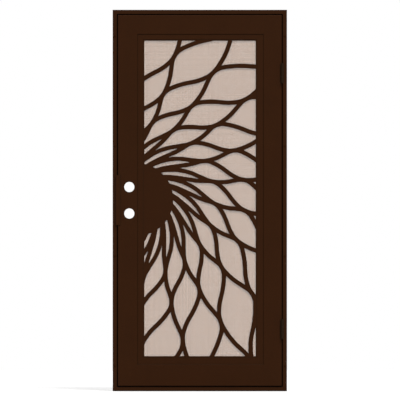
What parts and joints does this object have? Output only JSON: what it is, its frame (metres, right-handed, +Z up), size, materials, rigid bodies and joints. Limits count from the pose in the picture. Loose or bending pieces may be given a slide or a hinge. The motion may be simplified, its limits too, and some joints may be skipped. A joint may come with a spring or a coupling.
{
  "type": "security screen door",
  "caption": "Face-fixed steel security screen door: four-sided frame, outward-swinging tube leaf, sun-ray grille over a woven screen.",
  "frame": {"origin": "on the wall plane, at the middle of the sill's foot", "axes": "+X towards the hinge side, -Y outwards away from the house, +Z up"},
  "size_m": [0.92, 0.06, 2.013],
  "materials": {
    "frame_paint": "dark bronze powder coat, satin",
    "leaf_paint": "dark bronze powder coat, satin",
    "grille_paint": "dark bronze powder coat, satin",
    "inner_paint": "dark bronze powder coat, satin",
    "hinge_paint": "dark bronze powder coat, worn bare on the knuckle faces",
    "lock_box_steel": "galvanised sheet",
    "screen_mesh": "fine woven wire, sand coloured coat",
    "seal_pile": "grey brush pile on a black backing"
  },
  "bodies": {
    "frame": {"latch_jamb": "frame_paint", "hinge_jamb": "frame_paint", "head": "frame_paint", "sill": "frame_paint", "latch_seal": "seal_pile", "hinge_seal": "seal_pile", "top_seal": "seal_pile", "bottom_seal": "seal_pile", "upper_hinge_frame_plate": "hinge_paint", "upper_hinge_pin": "hinge_paint", "lower_hinge_frame_plate": "hinge_paint", "lower_hinge_pin": "hinge_paint"},
    "leaf": {"latch_stile": "leaf_paint", "hinge_stile": "leaf_paint", "top_rail": "leaf_paint", "bottom_rail": "leaf_paint", "lock_box": "lock_box_steel", "latch_guard": "leaf_paint", "latch_border": "leaf_paint", "hinge_border": "leaf_paint", "top_border": "leaf_paint", "bottom_border": "leaf_paint", "latch_screen_frame": "inner_paint", "hinge_screen_frame": "inner_paint", "top_screen_frame": "inner_paint", "bottom_screen_frame": "inner_paint", "latch_retainer": "inner_paint", "hinge_retainer": "inner_paint", "top_retainer": "inner_paint", "bottom_retainer": "inner_paint", "screen": "screen_mesh", "sun_ray_grille": "grille_paint", "upper_hinge_leaf_plate": "hinge_paint", "lower_hinge_leaf_plate": "hinge_paint"}
  },
  "joints": [
    {"name": "leaf_swing", "type": "hinge", "parent": "frame", "child": "leaf", "pos_m": [0.435, -0.053, 1.002], "axis": [0, 0, 1], "range_deg": [0, 180]}
  ]
}
